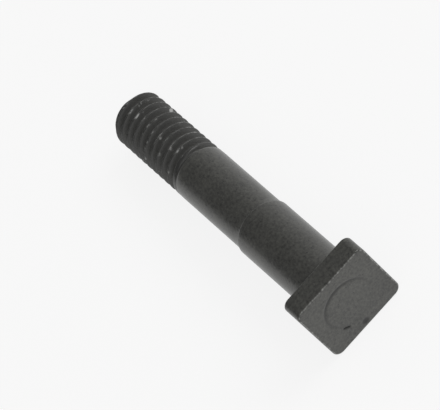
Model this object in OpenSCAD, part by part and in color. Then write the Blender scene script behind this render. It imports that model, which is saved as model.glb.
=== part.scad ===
// Square-headed stud with a shoulder, a plain shank and a threaded end.
// It lies as it comes to rest, on one side of its head and the tip of its thread.

/* [Head] */
// Width of the square head across its flats
head_w = 9.1; // [8.5:0.1:14]
// Thickness of the head
head_t = 2.35; // [1.2:0.05:5]
// Radius of the head's four corners
head_corner_r = 0.9; // [0.5:0.1:2]
// Rounding along the edges of the head's two faces
head_edge_r = 0.2; // [0.05:0.05:0.4]
// Diameter of the forging ring on the end face
ring_d = 5.5; // [3:0.1:7]
// Width of the forging ring's groove
ring_w = 0.2; // [0.1:0.05:0.4]
// Depth of the forging ring's groove
ring_depth = 0.05; // [0.02:0.01:0.15]

/* [Shank] */
// Distance from the underside of the head to the tip of the thread
stud_l = 33.4; // [28:0.1:60]
// Diameter of the thicker shoulder next to the head
shoulder_d = 6.32; // [6.3:0.02:7]
// Length of the shoulder, with the bevel at its end
shoulder_l = 11.55; // [6:0.05:13]
// Diameter of the plain shank
shank_d = 6; // [5.98:0.02:6.2]
// Length of the slight taper from the shank down to the thread's crests
taper_l = 0.6; // [0.3:0.1:1.5]
// Radius of the fillet between the head and the shoulder
seat_fillet_r = 0.25; // [0.1:0.05:0.4]

/* [Thread] */
// Diameter over the thread's crests
thread_d = 5.97; // [5.5:0.01:5.97]
// Distance from one crest to the next
pitch = 1; // [0.7:0.05:1.25]
// Length of the full thread, from its tip back towards the head
thread_l = 10.9; // [6:0.1:13]
// Part of a turn over which the groove fades out into the shank
runout_turn = 0.4; // [0.2:0.05:0.75]
// Direction about the axis in which the groove starts to fade
runout_angle = 90; // [0:5:355]
// Bevel at the tip of the thread
tip_bevel = 0.5; // [0.3:0.05:0.8]

/* [Hidden] */
$fn = 96;

shank_r = shank_d / 2;
shoulder_r = shoulder_d / 2;
shoulder_bevel = shoulder_r - shank_r;
thread_r = thread_d / 2;
thread_start = stud_l - thread_l;
taper_end = thread_start - pitch / 2;
tip_start = stud_l - tip_bevel;
tip_r = thread_r - tip_bevel;

// Metric thread form: flanks at 60 degrees to each other, flat crests
flank_tan = tan(30);
crest_flat = pitch / 8;
thread_depth = 0.6134 * pitch;
root_flat = pitch - crest_flat - 2 * thread_depth * flank_tan;

// The groove is swept in flat facets and stands a little proud of the crests
groove_steps = 36;
groove_r = thread_r + 0.08 * pitch;
groove_floor_r = thread_r - thread_depth;
groove_tip_r = (thread_r + groove_r) / 2;
groove_first = runout_angle - 360 * runout_turn;
groove_last = runout_angle + 360 * (thread_l / pitch + 1);
groove_rings = ceil((groove_last - groove_first) / 360 * groove_steps);

// The last full crest on the underside, where the tip touches the ground
under_angle = 180;
under_crest = thread_start + pitch * ((under_angle - runout_angle) / 360 + 0.5);
tip_crest = under_crest + pitch * floor((tip_start + crest_flat / 2 - under_crest) / pitch);
tip_contact = min(tip_crest + crest_flat / 2, tip_start);

// Tilt at rest, from the ground line that touches the head's edge and that crest
rest_run = tip_contact + head_edge_r;
rest_drop = head_w / 2 - head_edge_r - thread_r;
rest_tilt = atan2(rest_drop, rest_run) + asin(head_edge_r / norm([rest_run, rest_drop]));
edge_reach = head_w / 2 - head_edge_r;
rest_lift = edge_reach * cos(rest_tilt) - head_edge_r * sin(rest_tilt) + head_edge_r;
head_end_x = (head_t - head_edge_r) * cos(rest_tilt) + edge_reach * sin(rest_tilt) + head_edge_r;
tip_end_x = -stud_l * cos(rest_tilt) - tip_r * sin(rest_tilt);
rest_shift = -(head_end_x + tip_end_x) / 2;

function groove_angle(i) = groove_first + (groove_last - groove_first) * i / groove_rings;

function groove_z(angle) = thread_start + pitch * (angle - runout_angle) / 360;

// Radius of the groove's floor, which rises out of the shank along the run-out
function floor_r(angle) =
    angle >= runout_angle ? groove_floor_r
    : groove_floor_r + (groove_tip_r - groove_floor_r) * (runout_angle - angle) / (360 * runout_turn);

// One section across the groove: mouth, floor, floor, mouth
function groove_section(angle) =
    let (
        r = floor_r(angle),
        floor_half = root_flat / 2,
        mouth_half = floor_half + (groove_r - r) * flank_tan
    )
    [for (p = [[groove_r, -mouth_half], [r, -floor_half], [r, floor_half], [groove_r, mouth_half]])
        [p[0] * cos(angle), p[0] * sin(angle), groove_z(angle) + p[1]]];

module thread_groove() {
    points = [for (i = [0 : groove_rings]) each groove_section(groove_angle(i))];
    sides = [for (i = [0 : groove_rings - 1], k = [0 : 3])
        let (a = 4 * i + k, b = 4 * i + (k + 1) % 4)
        each [[b, a, a + 4], [b, a + 4, b + 4]]];
    last = 4 * groove_rings;
    ends = [[0, 1, 2, 3], [last + 3, last + 2, last + 1, last]];
    polyhedron(points, concat(sides, ends));
}

// Shoulder, shank and tip as one turned blank, which starts inside the head
module blank() {
    rotate_extrude() {
        polygon([
            [0, -head_t / 2],
            [shoulder_r, -head_t / 2],
            [shoulder_r, shoulder_l - shoulder_bevel],
            [shank_r, shoulder_l],
            [shank_r, taper_end - taper_l],
            [thread_r, taper_end],
            [thread_r, tip_start],
            [tip_r, stud_l],
            [0, stud_l],
        ]);
        difference() {
            translate([0, -head_t / 2])
                square([shoulder_r + seat_fillet_r, head_t / 2 + seat_fillet_r]);
            translate([shoulder_r + seat_fillet_r, seat_fillet_r])
                circle(seat_fillet_r);
        }
    }
}

module head_plan() {
    corner = head_w / 2 - head_corner_r;
    square([head_w, 2 * corner], center = true);
    square([2 * corner, head_w], center = true);
    for (x = [-1, 1], y = [-1, 1])
        translate([x * corner, y * corner])
            circle(head_corner_r);
}

// What lies outside the rounding of an edge, with the sharp edge at the origin
module edge_waste() {
    difference() {
        translate([-head_edge_r, -head_edge_r])
            square(2 * head_edge_r);
        translate([-head_edge_r, -head_edge_r])
            circle(head_edge_r);
    }
}

// The waste all round the head's upper face, at height 0
module rim_waste() {
    corner = head_w / 2 - head_corner_r;
    for (turn = [0 : 90 : 270])
        rotate(turn) {
            translate([head_w / 2, corner, 0])
                rotate([90, 0, 0])
                    linear_extrude(2 * corner)
                        edge_waste();
            translate([corner, corner, 0])
                rotate_extrude(angle = 90)
                    translate([head_corner_r, 0])
                        edge_waste();
        }
}

// A fine V-shaped groove, centred on the plane at height 0
module forging_ring() {
    rotate_extrude()
        polygon([
            [ring_d / 2 - ring_w, -ring_depth],
            [ring_d / 2 + ring_w, -ring_depth],
            [ring_d / 2, ring_depth],
        ]);
}

// The head, with its underside at height 0 and its end face below
module head() {
    difference() {
        translate([0, 0, -head_t])
            linear_extrude(head_t)
                head_plan();
        rim_waste();
        translate([0, 0, -head_t]) {
            mirror([0, 0, 1])
                rim_waste();
            forging_ring();
        }
    }
}

// Lays an upright stud down with its tip towards -X
module at_rest() {
    translate([rest_shift, 0, rest_lift])
        rotate([0, -90 - rest_tilt, 0])
            children();
}

module stud() {
    color("#3f403d")
        at_rest() {
            head();
            difference() {
                blank();
                thread_groove();
            }
        }
}

stud();
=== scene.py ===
import math

import bpy
import numpy as np
from mathutils import Matrix, Vector


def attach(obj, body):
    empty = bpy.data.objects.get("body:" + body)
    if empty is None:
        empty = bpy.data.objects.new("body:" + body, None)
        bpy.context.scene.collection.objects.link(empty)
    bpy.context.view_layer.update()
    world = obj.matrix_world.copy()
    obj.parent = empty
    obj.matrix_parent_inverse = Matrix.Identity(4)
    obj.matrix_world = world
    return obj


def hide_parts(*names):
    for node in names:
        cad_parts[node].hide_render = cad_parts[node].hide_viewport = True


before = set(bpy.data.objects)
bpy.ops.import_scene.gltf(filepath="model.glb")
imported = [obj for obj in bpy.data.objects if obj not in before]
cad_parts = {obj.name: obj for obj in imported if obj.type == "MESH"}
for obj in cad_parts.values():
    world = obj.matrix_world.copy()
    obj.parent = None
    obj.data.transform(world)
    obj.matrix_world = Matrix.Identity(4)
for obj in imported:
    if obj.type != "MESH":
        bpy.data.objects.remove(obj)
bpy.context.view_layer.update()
print("frame loaded:", sorted(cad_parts))

# How the stud lies on its head and its tip, in degrees and mm
restSet = {
    "tilt": 2.7562316,
    "shift": 15.4620835,
    "lift": 4.5353504,
}


def layDown(points):
    # upright mm to the frame's metres: the axis turns to -X and tips by the tilt, then shift and lift
    tilt = math.radians(restSet["tilt"])
    x, y, z = points[..., 0], points[..., 1], points[..., 2]
    alongX = restSet["shift"] - z * math.cos(tilt) - x * math.sin(tilt)
    upZ = restSet["lift"] - z * math.sin(tilt) + x * math.cos(tilt)
    return np.stack([alongX, y, upZ], axis=-1) / 1000


# The stud, in mm, upright: the head's underside is at 0 and the tip points up the axis
studSet = {
    "columns": 240,           # points round the axis, a multiple of 4
    "headWidth": 9.1,
    "headThick": 2.35,
    "cornerRadius": 0.9,
    "cornerColumns": 14,      # columns on each rounded corner
    "faceRadii": (0.4, 2.5, 0.3),       # rings on the end face: from, up to, apart
    "markRadii": (2.55, 3.6, 0.05),     # closer ones, where the marks are
    "lastRadii": (3.65, 3.7),
    "faceRows": 8,            # from the last of those rings to the rim
    "edgeRadius": 0.2,
    "edgeRows": 8,            # across each rounded edge and the fillet
    "sideRows": 8,
    "underShares": (0.12, 0.3, 0.5, 0.7, 0.88),     # rings from the underside's edge to the fillet
    "filletRadius": 0.25,     # between the head and the shoulder
    "shoulderRadius": 3.16,
    "shoulderEnd": 11.55,
    "shoulderRows": 14,
    "stepRows": (             # at the shoulder's end: height, share of the step that is left, rub
        (-0.3, 1, 0),
        (-0.05, 1, 0.15),
        (0, 0.95, 0.4),
        (0.03, 0.82, 0.25),
        (0.128, 0.2, 0.05),
        (0.16, 0.06, 0),
        (0.2, 0, 0),
    ),
    "shankRadius": 3.0,
    "shankRows": 12,
    "taperFrom": 21.4,        # slight taper from the shank to the crests
    "taperTo": 22.0,
    "taperRows": 4,
    "length": 33.4,
    "bevel": 0.5,
    "tipShares": (1, 0.96, 0.85, 0.65, 0.4, 0.2),   # rings on the tip, of its radius
    "sharpAngle": 42,         # degrees, past which an edge shades as a sharp one
}

threadSet = {
    "pitch": 1.0,
    "crestRadius": 2.985,
    "depth": 0.6134,
    "rootFlat": 0.1667,
    "flankAngle": 60,         # degrees between two flanks
    "start": 22.5,            # height of the groove's centre where its full depth begins
    "startAngle": 90.0,
    "fadeTurn": 0.4,          # part of a turn over which the groove fades out
    "fadeRise": 0.04,         # how far the faded floor ends above the crests
    "crestRound": 0.12,
    "rootRound": 0.08,
    "tipRound": 0.05,         # where the crests meet the tip's bevel
    "rowShares": (0, 0.04, 0.07, 0.1, 0.18, 0.27, 0.36, 0.41, 0.45),   # crest centre to near the root
    "rowTurns": 16,           # more turns of rows than the thread needs, which are cut to its length
    "rowTurnsBelow": 2.5,     # of those, below the start
}

# Marks of forging and handling, with painted shade in the end face's gouge and dent and painted highlight
# bands on the crests
markSet = {
    "ringCentre": (0.12, -0.05),
    "ringRadius": 2.74,
    "ringHalf": 0.3,
    "ringDepth": 0.06,
    "ringDeepest": -15,       # degrees round from the top
    "ringLeast": 0.1,         # share of that depth on the far side
    "ringFade": 1.6,
    "ringStain": 0.9,
    "nickFrom": (-2.15, -2.08),
    "nickTo": (-2.54, -1.61),
    "nickHalf": 0.15,
    "nickDepth": 0.17,
    # the gouge's darkening is partly stain, partly painted shade
    "nickStainAndShade": 1.8,
    "dentAt": (-3.78, -0.15),
    "dentHalf": 0.58,
    "dentDepth": 0.07,
    # the dent's darkening is partly stain, partly painted shade
    "dentStainAndShade": 2.0,
    "rimWear": 0.67,          # on the end face's edge
    "backWear": 0.45,         # on the edge of the head's underside
    "chips": (                # on the thread: height, angle, half length, half width, depth, rub
        (29.77, 76, 0.42, 0.14, 0.04, 2.0),
        (24.62, -6, 0.22, 0.16, 0.1, 0.9),
        (31.69, 0, 0.4, 0.09, 0.02, 1.1),
        (30.68, 0, 0.4, 0.09, 0.02, 1.2),
        (28.66, 2, 0.18, 0.08, 0.03, 0.8),
        (25.8, 0, 0.28, 0.09, 0.03, 0.9),
        (23.71, 1, 0.4, 0.09, 0.03, 1.0),
        (29.76, -5, 0.18, 0.08, 0.03, 0.8),
        (32.72, -5, 0.22, 0.08, 0.02, 0.8),
        (27.9, 6, 0.24, 0.1, 0.04, 1.0),
        (26.6, -3, 0.3, 0.09, 0.03, 0.9),
        (23.65, 11, 0.22, 0.08, 0.03, 0.8),
        (22.76, -2, 0.3, 0.08, 0.03, 0.9),
    ),
    "dingCount": 90,          # small dings along the crests, each size between two values
    "dingSeed": 11,
    "dingTurns": (1, 11),     # the first turn, and one past the last
    "dingRise": 0.47,         # part of a pitch from the groove's centre to just short of the crest's
    "dingStray": (-0.12, 0.1),
    "dingHalfLong": (0.1, 0.4),
    "dingHalfWide": (0.05, 0.1),
    "dingDepth": (0.015, 0.06),
    "dingRub": (0.3, 0.9),
    "dustAndLightCleared": 0.8,       # share of the groove's dust and painted light that a chip takes away
    "crestWear": 0.36,
    "crestSheenBands": (            # painted highlight bands on the crests, added to their wear: degrees round from the top, spread, strength
        (0, 9, 0.45),
        (60, 16, 0.35),
    ),
    "crestBand": 0.1,         # depth over which the crests' wear and painted highlight end
    "wearAndSheenFrom": 0.3,          # how far past the thread's start it begins
    "wearAndSheenRun": 0.5,           # length over which it grows
}

columnCount = studSet["columns"]
columnTurn = 2 * np.pi * np.arange(columnCount) / columnCount


def between(first, last, count):
    # evenly spaced values inside a range, without its ends
    return np.linspace(first, last, count + 2)[1:-1]


def softMin(a, b, width):
    # the lesser of two, rounded off where they come within the width
    near = np.clip(width - np.abs(a - b), 0, None) / width
    return np.minimum(a, b) - near ** 2 * width / 4


def gridQuads(ids):
    # one quad for each cell of a grid of point numbers
    return np.stack([ids[:-1, :-1], ids[:-1, 1:], ids[1:, 1:], ids[1:, :-1]], axis=-1).reshape(-1, 4)


def circleRows(radius, height):
    # rings about the axis: radius times the cosine and sine of each column's turn, at the height
    radius, height = (each[:, None] for each in np.broadcast_arrays(radius, height))
    return np.stack(
        [radius * np.cos(columnTurn), radius * np.sin(columnTurn), height + 0 * columnTurn], axis=-1
    )


def headSides():
    # per column: a point on the square through the corner centres, and the way out from it
    quarter = columnCount // 4
    flat = (quarter - studSet["cornerColumns"]) // 2
    half = studSet["headWidth"] / 2 - studSet["cornerRadius"]
    step = np.arange(quarter)
    swing = np.clip((step - flat) / studSet["cornerColumns"], 0, 1) * np.pi / 2
    sideX = np.clip((quarter - step) / flat, 0, 1)
    sideY = np.clip(step / flat, 0, 1)
    corner = half * np.stack([sideX, sideY], axis=-1)
    outward = np.stack([np.cos(swing), np.sin(swing)], axis=-1)
    turns = [np.array([[c, s], [-s, c]]) for c, s in ((1, 0), (0, 1), (-1, 0), (0, -1))]
    return np.concatenate([corner @ t for t in turns]), np.concatenate([outward @ t for t in turns])


def headRows(inset, height):
    # rings round the head: the corner radius less the inset, carried out from the inner square
    core, outward = headSides()
    inset, height = (each[:, None, None] for each in np.broadcast_arrays(inset, height))
    flatRing = core + (studSet["cornerRadius"] - inset) * outward
    return np.concatenate([flatRing, height + 0 * flatRing[..., :1]], axis=-1)


def blendRows(first, last, shares):
    # rings between two rings, at shares of the way
    return first + np.reshape(shares, (-1, 1, 1)) * (last - first)


def endMarks(x, y):
    # depth and stain on the end face: a ring deepest near the top, a short gouge and a shallow dent, the
    # gouge and dent darkened partly by stain and partly by painted shade
    m = markSet
    ringX, ringY = x - m["ringCentre"][0], y - m["ringCentre"][1]
    turnAway = np.arctan2(ringY, ringX) - math.radians(m["ringDeepest"])
    ringShare = m["ringLeast"] + (1 - m["ringLeast"]) * (0.5 + 0.5 * np.cos(turnAway)) ** m["ringFade"]
    ringAway = (np.hypot(ringX, ringY) - m["ringRadius"]) / m["ringHalf"]
    ring = ringShare * np.clip(1 - ringAway ** 2, 0, 1) ** 2
    first, last = np.array(m["nickFrom"]), np.array(m["nickTo"])
    run = last - first
    place = np.clip(((x - first[0]) * run[0] + (y - first[1]) * run[1]) / (run @ run), 0, 1)
    away = np.hypot(x - first[0] - place * run[0], y - first[1] - place * run[1])
    nick = np.clip(1 - (away / m["nickHalf"]) ** 2, 0, 1)
    dentAway = np.hypot(x - m["dentAt"][0], y - m["dentAt"][1]) / m["dentHalf"]
    dent = np.clip(1 - dentAway ** 2, 0, 1) ** 2
    sink = m["ringDepth"] * ring + m["nickDepth"] * nick + m["dentDepth"] * dent
    return sink, np.clip(m["ringStain"] * ring + m["nickStainAndShade"] * nick + m["dentStainAndShade"] * dent, 0, 1)


def shaftRows():
    # rings from the middle of the end face, over the head, shoulder and shank, to the start of the thread
    s, m = studSet, markSet
    edge, thick, fillet = s["edgeRadius"], s["headThick"], s["filletRadius"]
    arc = np.linspace(0, np.pi / 2, s["edgeRows"])
    faceRadii = np.concatenate([np.arange(*s["faceRadii"]), np.arange(*s["markRadii"]), s["lastRadii"]])
    inner = circleRows(faceRadii, -thick)
    rim = headRows(edge * (1 - np.sin(arc)), edge * (1 - np.cos(arc)) - thick)
    outer = blendRows(inner[-1:], rim[:1], between(0, 1, s["faceRows"]))
    side = headRows(0, between(edge - thick, -edge, s["sideRows"]))
    under = headRows(edge * (1 - np.cos(arc)), -edge * (1 - np.sin(arc)))
    seat = circleRows(s["shoulderRadius"] + fillet * (1 - np.sin(arc)), fillet * (1 - np.cos(arc)))
    belowHead = blendRows(under[-1:], seat[:1], s["underShares"])
    step = s["shoulderRadius"] - s["shankRadius"]
    stepPlaces, stepShares, stepRub = np.array(s["stepRows"]).T
    stepHeights = s["shoulderEnd"] - step + stepPlaces
    shoulder = circleRows(s["shoulderRadius"], between(fillet, stepHeights[0], s["shoulderRows"]))
    stepDown = circleRows(stepShares * step + s["shankRadius"], stepHeights)
    shank = circleRows(s["shankRadius"], between(stepHeights[-1], s["taperFrom"], s["shankRows"]))
    taperRadii = np.linspace(s["shankRadius"], threadSet["crestRadius"], s["taperRows"])
    taper = circleRows(taperRadii, np.linspace(s["taperFrom"], s["taperTo"], s["taperRows"]))
    rimRub = m["rimWear"] * np.sin(np.pi * np.sqrt(arc / arc[-1]))     # most near the end face
    backRub = m["backWear"] * np.sin(2 * arc)
    stretches = (
        (inner, 0), (outer, 0), (rim, rimRub), (side, 0), (under, backRub), (belowHead, 0),
        (seat, 0), (shoulder, 0), (stepDown, stepRub), (shank, 0), (taper, 0),
    )
    rows = np.concatenate([rings for rings, rubAndSheen in stretches])
    rowRub = np.concatenate([rubAndSheen + np.zeros(len(rings)) for rings, rubAndSheen in stretches])
    stainAndShade = np.zeros(rows.shape[:2])
    face = slice(len(inner) + len(outer))
    sink, stainAndShade[face] = endMarks(rows[face, :, 0], rows[face, :, 1])
    rows[face, :, 2] += sink
    return rows, rowRub[:, None] + 0 * stainAndShade, stainAndShade


def looseDings():
    # dings scattered along the crests, as rows like those of the chips
    m, t = markSet, threadSet
    rng = np.random.default_rng(m["dingSeed"])
    count = m["dingCount"]
    turns = rng.integers(*m["dingTurns"], count) + m["dingRise"] + rng.uniform(*m["dingStray"], count)
    angles = rng.uniform(-180, 180, count)
    crests = t["start"] + t["pitch"] * ((angles - t["startAngle"]) / 360 + turns)
    sizes = [
        rng.uniform(*m[key], count) for key in ("dingHalfLong", "dingHalfWide", "dingDepth", "dingRub")
    ]
    return np.stack([crests, angles, *sizes], axis=-1)


def threadChips(height, angle):
    # depth and rub of chips in the thread: each is a bowl in height and arc length
    t = threadSet
    sink, rubAndSheen = 0 * height, 0 * height
    for top, way, halfLong, halfWide, depth, bareness in np.concatenate([markSet["chips"], looseDings()]):
        arcAway = np.radians((angle - way + 180) % 360 - 180)
        lead = t["pitch"] * arcAway / (2 * np.pi)     # the crest climbs along the chip
        alongShare = t["crestRadius"] * arcAway / halfLong
        acrossShare = (height - top - lead) / halfWide
        bowl = np.clip(1 - alongShare ** 2 - acrossShare ** 2, 0, 1)
        sink = np.maximum(sink, depth * bowl)
        rubAndSheen = np.maximum(rubAndSheen, bareness * np.sqrt(bowl))
    return sink, rubAndSheen


def threadRadius(height, angle):
    # distance from the nearest groove centre gives floor or flank; crests, fade and tip bevel limit it
    t = threadSet
    place = (height - t["start"]) / t["pitch"] - (angle - t["startAngle"]) / 360
    turn = np.round(place)
    away = np.abs(place - turn) * t["pitch"]
    fade = np.clip((t["startAngle"] - angle - 360 * turn) / (360 * t["fadeTurn"]), 0, 1)
    floorRadius = t["crestRadius"] - t["depth"] + (t["depth"] + t["fadeRise"]) * fade
    flank = floorRadius + (away - t["rootFlat"] / 2) / math.tan(math.radians(t["flankAngle"] / 2))
    groove = -softMin(-floorRadius, -flank, t["rootRound"])
    radius = softMin(t["crestRadius"] + 0 * height, groove, t["crestRound"])
    cone = t["crestRadius"] - studSet["bevel"] + studSet["length"] - height
    return softMin(radius, cone, t["tipRound"])


def threadHeights():
    # rows that climb by a pitch with the angle, so that each stays on its crest, flank or root
    t = threadSet
    shares = np.array(t["rowShares"])
    shares = np.concatenate([shares, [0.5], 1 - shares[:0:-1]])
    rowHeight = np.add.outer(np.arange(t["rowTurns"]), shares).ravel() * t["pitch"]
    base = t["start"] - t["startAngle"] / 360 * t["pitch"] - t["rowTurnsBelow"] * t["pitch"]
    height = base + rowHeight[:, None] + t["pitch"] * np.arange(columnCount) / columnCount
    return height, len(shares)


def threadSurface(height):
    # points with the chips sunk in, rub and painted highlight bands on the crests, rub in the chips, and
    # depth in the groove
    m, t = markSet, threadSet
    angle = np.degrees(columnTurn) + 0 * height
    radius = threadRadius(height, angle)
    chipSink, chipRub = threadChips(height, angle)
    crestZone = np.clip(1 - (t["crestRadius"] - radius) / m["crestBand"], 0, 1)
    crestZone = crestZone * np.clip((height - t["start"] - m["wearAndSheenFrom"]) / m["wearAndSheenRun"], 0, 1)
    wearAndSheen = m["crestWear"]
    # painted highlight bands on the crests at set angles, added to the wear
    for way, spread, sheen in m["crestSheenBands"]:
        fromWay = (angle - way + 180) % 360 - 180
        wearAndSheen = wearAndSheen + sheen * np.exp(-(fromWay / spread) ** 2)
    rubAndSheen = np.maximum(wearAndSheen * crestZone, chipRub)
    deep = np.clip((t["crestRadius"] - radius) / t["depth"], 0, 1)
    deep = deep * (1 - m["dustAndLightCleared"] * np.clip(chipRub, 0, 1))
    radius = radius - chipSink
    points = np.stack([radius * np.cos(columnTurn), radius * np.sin(columnTurn), height], axis=-1)
    return points, rubAndSheen, deep


def tipRows():
    # flat tip: rings that shrink from the bevelled edge towards the middle
    length = studSet["length"]
    rows = circleRows(studSet["tipShares"], length)
    rows[..., :2] *= threadRadius(np.full(columnCount, length), np.degrees(columnTurn))[:, None]
    return rows


def joinRows(lowerIds, threadIds, tipIds, perPitch, lastPoint):
    # rings joined row by row, the thread's shifted by one pitch of rows where the turn closes
    columns = np.arange(columnCount)
    ahead = np.roll(columns, -1)
    closing = np.concatenate([threadIds[perPitch:, :1], np.full((perPitch, 1), -1)])
    grids = ((lowerIds, lowerIds[:, :1]), (tipIds, tipIds[:, :1]), (threadIds, closing))
    quads = np.concatenate([gridQuads(np.concatenate(grid, axis=1)) for grid in grids])
    missing = (quads < 0).sum(axis=1)
    corners = quads[missing == 1]
    threes = corners[corners >= 0].reshape(-1, 3)
    bottom = np.stack([0 * columns, lowerIds[0, ahead], lowerIds[0]], axis=-1)
    top = np.stack([tipIds[-1], tipIds[-1, ahead], 0 * columns + lastPoint], axis=-1)
    return quads[missing == 0].tolist() + threes.tolist() + bottom.tolist() + top.tolist()


def buildStud():
    # the middle of the end face, the rings up to the thread, the thread, the tip's rings and its middle
    s, n = studSet, columnCount
    lower, lowerRub, lowerStainAndShade = shaftRows()
    height, perPitch = threadHeights()
    threadPoints, threadRubAndSheen, threadDeep = threadSurface(height)
    tip = tipRows()
    # in each column the thread's rows are cut to its length, and its two ends are the rings there
    firstRow = np.abs(height - s["taperTo"]).argmin(axis=0)
    lastRow = np.abs(height - s["length"]).argmin(axis=0)
    rowIndex = np.arange(len(height))[:, None]
    inside = (rowIndex > firstRow) & (rowIndex < lastRow)
    points = np.concatenate([
        [[0, 0, -s["headThick"]]],
        lower.reshape(-1, 3),
        threadPoints[inside],
        tip.reshape(-1, 3),
        [[0, 0, s["length"]]],
    ])
    lowerIds = 1 + np.arange(len(lower) * n).reshape(len(lower), n)
    threadFirst = lowerIds[-1, -1] + 1
    tipFirst = threadFirst + inside.sum()
    tipIds = tipFirst + np.arange(len(tip) * n).reshape(len(tip), n)
    threadIds = np.full(height.shape, -1)
    threadIds[inside] = np.arange(threadFirst, tipFirst)
    threadIds[firstRow, np.arange(n)] = lowerIds[-1]
    threadIds[lastRow, np.arange(n)] = tipIds[0]
    faces = joinRows(lowerIds, threadIds, tipIds, perPitch, len(points) - 1)
    # per point: rub with painted highlight, stain with painted shade, share of thread and depth in it
    layers = {
        "rubAndSheen": (lowerRub, threadRubAndSheen, 0),
        "stainAndShade": (lowerStainAndShade, 0 * height, 0),
        "cut": (0 * lowerStainAndShade, 0 * height + 1, 1),
        "deep": (0 * lowerStainAndShade, threadDeep, 0),
    }
    tipPoints = len(points) - tipFirst
    marks = {
        key: np.concatenate([[0], below.ravel(), thread[inside], np.full(tipPoints, end)])
        for key, (below, thread, end) in layers.items()
    }
    return points, faces, marks


def makePiece(name, points, faces, marks):
    mesh = bpy.data.meshes.new(name)
    mesh.from_pydata(layDown(points).tolist(), [], faces)
    mesh.validate()
    mesh.shade_smooth()
    mesh.set_sharp_from_angle(angle=math.radians(studSet["sharpAngle"]))
    for key, values in marks.items():
        mesh.attributes.new(key, "FLOAT", "POINT").data.foreach_set("value", values.astype(np.float32))
    piece = bpy.data.objects.new(name, mesh)
    bpy.context.scene.collection.objects.link(piece)
    return piece


studPoints, studFaces, studMarks = buildStud()
stud = makePiece("blackStud", studPoints, studFaces, studMarks)
print("stud built:", len(studPoints), "points,", len(studFaces), "faces")


class Wire:
    # an output socket; arithmetic on it adds Math nodes
    def __init__(self, tree, socket=None):
        self.tree = tree
        self.socket = socket

    def node(self, kind, settings=None, inputs=None, out=0):
        # any node: settings first, then the values or wires of its sockets
        made = self.tree.nodes.new(kind)
        for key, value in (settings or {}).items():
            setattr(made, key, value)
        for key, value in (inputs or {}).items():
            if isinstance(value, Wire):
                self.tree.links.new(value.socket, made.inputs[key])
            else:
                made.inputs[key].default_value = value
        return Wire(self.tree, made.outputs[out] if made.outputs else None)

    def math(self, operation, first, second):
        return self.node("ShaderNodeMath", {"operation": operation}, {0: first, 1: second})

    def mix(self, share, first, second):
        # a colour between two
        inputs = {"Factor": share, "A": first, "B": second}
        return self.node("ShaderNodeMix", {"data_type": "RGBA"}, inputs, "Result")

    def ramp(self, value, low, high):
        # 0 at low to 1 at high, held beyond
        inputs = {"Value": value, "From Min": low, "From Max": high}
        return self.node("ShaderNodeMapRange", {"clamp": True}, inputs)

    def __add__(self, other):
        return self.math("ADD", self, other)

    def __radd__(self, other):
        return self.math("ADD", other, self)

    def __sub__(self, other):
        return self.math("SUBTRACT", self, other)

    def __rsub__(self, other):
        return self.math("SUBTRACT", other, self)

    def __mul__(self, other):
        return self.math("MULTIPLY", self, other)

    def __rmul__(self, other):
        return self.math("MULTIPLY", other, self)


def freshTree(owner):
    owner.use_nodes = True
    owner.node_tree.nodes.clear()
    return Wire(owner.node_tree)


oxideSet = {
    "dark": (0.013, 0.013, 0.0113, 1),
    "light": (0.084, 0.084, 0.0735, 1),
    "metallic": 0.35,
    "ior": 1.8,
    "roughness": 0.31,
    "cloud": {"Scale": 260, "Detail": 3},       # noises, per metre
    "grain": {"Scale": 3300, "Detail": 4},
    "speck": {"Scale": 8000, "Detail": 2},
    "cloudTone": 0.6,         # how far each of them lightens the oxide
    "grainTone": 1.6,
    "speckTone": 1.0,
    "toneDrop": 1.1,
    "grainRough": 0.2,
    "bumpStrength": 0.5,
    "bumpHeight": 0.00002,    # metres
    "speckBump": 0.4,
    "bare": (0.42, 0.42, 0.41, 1),
    "bareGrain": 2.6,         # how far the grain breaks up what is rubbed bare
    "bareDrop": 0.5,
    "bareFrom": 0.35,
    "bareTo": 1.1,
    "bareMetal": 0.4,         # added to the metallic value
    "bareSmooth": 0.06,
    # dark colour for stains and for painted shade
    "stainShadeColour": (0.012, 0.012, 0.011, 1),
    "stainRough": 0.25,
    "threadShade": 0.75,      # painted shade: share of the dark stain colour over the whole cut thread
    "threadRough": 0.08,
    "threadBump": 0.6,
    # paler towards the groove's bottom: dust, and painted light that evens out the groove's shading
    "dustAndPaintedLight": (0.105, 0.105, 0.0977, 1),
    "dustAndLightShare": 0.75,        # of dust and painted light at the bottom of the groove
    "dustRough": 0.28,
}


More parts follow.
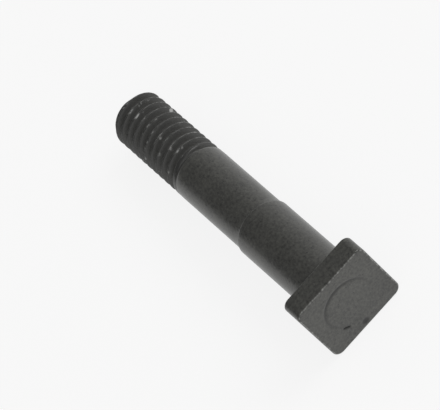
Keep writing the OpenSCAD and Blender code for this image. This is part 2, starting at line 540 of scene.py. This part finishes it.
def blackOxide():
    o = oxideSet
    material = bpy.data.materials.new("blackOxide")
    tree = freshTree(material)
    place = tree.node("ShaderNodeTexCoord", out="Object")
    cloud, grain, speck = (
        tree.node("ShaderNodeTexNoise", {}, {"Vector": place, **o[key]})
        for key in ("cloud", "grain", "speck")
    )
    rubAndSheen, stainAndShade, cut, deep = (
        tree.node("ShaderNodeAttribute", {"attribute_name": key}, out="Fac")
        for key in ("rubAndSheen", "stainAndShade", "cut", "deep")
    )
    tone = cloud * o["cloudTone"] + grain * o["grainTone"] + speck * o["speckTone"] - o["toneDrop"]
    oxide = tree.mix(tone, o["dark"], o["light"])
    # painted shade over the cut thread
    oxide = tree.mix(cut * o["threadShade"], oxide, o["stainShadeColour"])
    # dust and painted light, lighter towards the groove's bottom
    oxide = tree.mix(deep * o["dustAndLightShare"], oxide, o["dustAndPaintedLight"])
    # bare metal where rubbed, and painted highlight bands on the crests
    wornAndSheen = tree.ramp(rubAndSheen * (grain * o["bareGrain"] - o["bareDrop"]), o["bareFrom"], o["bareTo"])
    oxide = tree.mix(wornAndSheen, oxide, o["bare"])
    # stains, with painted shade in the end face's gouge and dent
    colour = tree.mix(stainAndShade, oxide, o["stainShadeColour"])
    height = grain + speck * o["speckBump"] + cut * speck * o["threadBump"]
    bump = tree.node("ShaderNodeBump", {}, {
        "Height": height,
        "Strength": o["bumpStrength"],
        "Distance": o["bumpHeight"],
    })
    rough = o["roughness"] + o["grainRough"] * (grain - 0.5)      # the grain is 0.5 on average
    rough = rough + o["threadRough"] * cut + o["dustRough"] * deep
    rough = rough + o["stainRough"] * stainAndShade - o["bareSmooth"] * wornAndSheen
    shader = tree.node("ShaderNodeBsdfPrincipled", {}, {
        "Base Color": colour,
        "Metallic": o["metallic"] + wornAndSheen * o["bareMetal"],
        "IOR": o["ior"],
        "Roughness": rough,
        "Normal": bump,
    })
    tree.node("ShaderNodeOutputMaterial", {}, {"Surface": shader})
    return material


stud.data.materials.append(blackOxide())
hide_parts("stud")
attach(stud, "root")
print("stud dressed")

# Floor, light and camera, in metres
floorSet = {
    "size": 3.0,
    "points": 5,              # along each side
    "drop": 0.00001,          # below the stud
    "colour": (0.9, 0.9, 0.9, 1),
    "whiteShare": 0.85,       # of the floor as the camera and reflections see it
}


def paleFloor():
    material = bpy.data.materials.new("paleFloor")
    tree = freshTree(material)
    path = tree.node("ShaderNodeLightPath", out="Is Camera Ray")
    seen = path
    for name in ("Is Glossy Ray", "Is Transmission Ray"):
        seen = tree.math("MAXIMUM", seen, Wire(tree.tree, path.socket.node.outputs[name]))
    matt = tree.node("ShaderNodeBsdfDiffuse", {}, {"Color": floorSet["colour"]})
    white = tree.node("ShaderNodeEmission", {}, {"Color": (1, 1, 1, 1), "Strength": 1})
    shader = tree.node("ShaderNodeMixShader", {}, {0: seen * floorSet["whiteShare"], 1: matt, 2: white})
    tree.node("ShaderNodeOutputMaterial", {}, {"Surface": shader})
    return material


def layFloor():
    # a flat square grid, just under the stud
    count = floorSet["points"]
    side = np.linspace(-0.5, 0.5, count) * floorSet["size"]
    x, y = np.meshgrid(side, side)
    points = np.stack([x, y, np.full(x.shape, -floorSet["drop"])], axis=-1).reshape(-1, 3)
    faces = gridQuads(np.arange(count ** 2).reshape(count, count))
    mesh = bpy.data.meshes.new("floor")
    mesh.from_pydata(points.tolist(), [], faces.tolist())
    floor = bpy.data.objects.new("floor", mesh)
    bpy.context.scene.collection.objects.link(floor)
    mesh.materials.append(paleFloor())


lightSet = {
    "dimSide": (0.31, 0.31, 0.31, 1),
    "brightSide": (0.93, 0.93, 0.93, 1),
    "brightWay": (-0.3, 0.954, 0),
    "skyPower": 5,            # how late the sky brightens towards its bright side
    "boxes": (                # name, way from the stud, distance, side, brightness
        ("keyBox", (0.1, 0.75, 0.66), 0.5, 0.25, 3.6),
        ("lowBox", (0.87, -0.28, 0.35), 0.6, 0.9, 0.6),
    ),
}


def softLight():
    # white below the horizon and to the camera; above, a sky that brightens towards one side
    world = bpy.data.worlds.new("studio")
    bpy.context.scene.world = world
    tree = freshTree(world)
    path = tree.node("ShaderNodeLightPath", out="Is Camera Ray")
    mirrored = Wire(tree.tree, path.socket.node.outputs["Is Glossy Ray"])
    through = Wire(tree.tree, path.socket.node.outputs["Is Transmission Ray"])
    sight = tree.node("ShaderNodeTexCoord", out="Generated")
    upward = tree.node("ShaderNodeSeparateXYZ", {}, {0: sight}, "Z")
    ways = {0: sight, 1: lightSet["brightWay"]}
    across = tree.node("ShaderNodeVectorMath", {"operation": "DOT_PRODUCT"}, ways, "Value")
    seen = tree.math("MAXIMUM", path, (mirrored + through) * tree.math("LESS_THAN", upward, 0.0))
    rise = tree.math("POWER", across * 0.5 + 0.5, lightSet["skyPower"])
    sky = tree.mix(rise, lightSet["dimSide"], lightSet["brightSide"])
    colour = tree.mix(seen, sky, (1, 1, 1, 1))
    shader = tree.node("ShaderNodeBackground", {}, {"Color": colour, "Strength": 1})
    tree.node("ShaderNodeOutputWorld", {}, {"Surface": shader})
    for name, way, distance, side, level in lightSet["boxes"]:
        lamp = bpy.data.lights.new(name, "AREA")
        lamp.size = side
        lamp.energy = level * math.pi * side ** 2      # a soft box of that brightness
        box = bpy.data.objects.new(name, lamp)
        box.location = Vector(way).normalized() * distance
        box.rotation_euler = Vector(way).to_track_quat("Z", "Y").to_euler()
        bpy.context.scene.collection.objects.link(box)


cameraSet = {
    "place": (0.2206176, -0.0057702, 0.3014419),
    "forward": (-0.598761, 0.012420, -0.800831),
    "right": (0.599736, 0.669667, -0.438021),
    "focalPixels": 3800,
    "imageWidth": 440,
    "sensor": 36.0,           # mm
    "nearest": 0.01,
}


def setCamera():
    c = cameraSet
    lens = bpy.data.cameras.new("camera")
    lens.sensor_width = c["sensor"]
    lens.lens = c["focalPixels"] * c["sensor"] / c["imageWidth"]
    lens.clip_start = c["nearest"]
    right = Vector(c["right"]).normalized()
    back = -Vector(c["forward"]).normalized()
    up = back.cross(right).normalized()
    camera = bpy.data.objects.new("camera", lens)
    camera.matrix_world = Matrix.Translation(c["place"]) @ Matrix((right, up, back)).transposed().to_4x4()
    bpy.context.scene.collection.objects.link(camera)
    bpy.context.scene.camera = camera


layFloor()
softLight()
setCamera()
bpy.context.scene.view_settings.view_transform = "Standard"
print("floor, light and camera set")
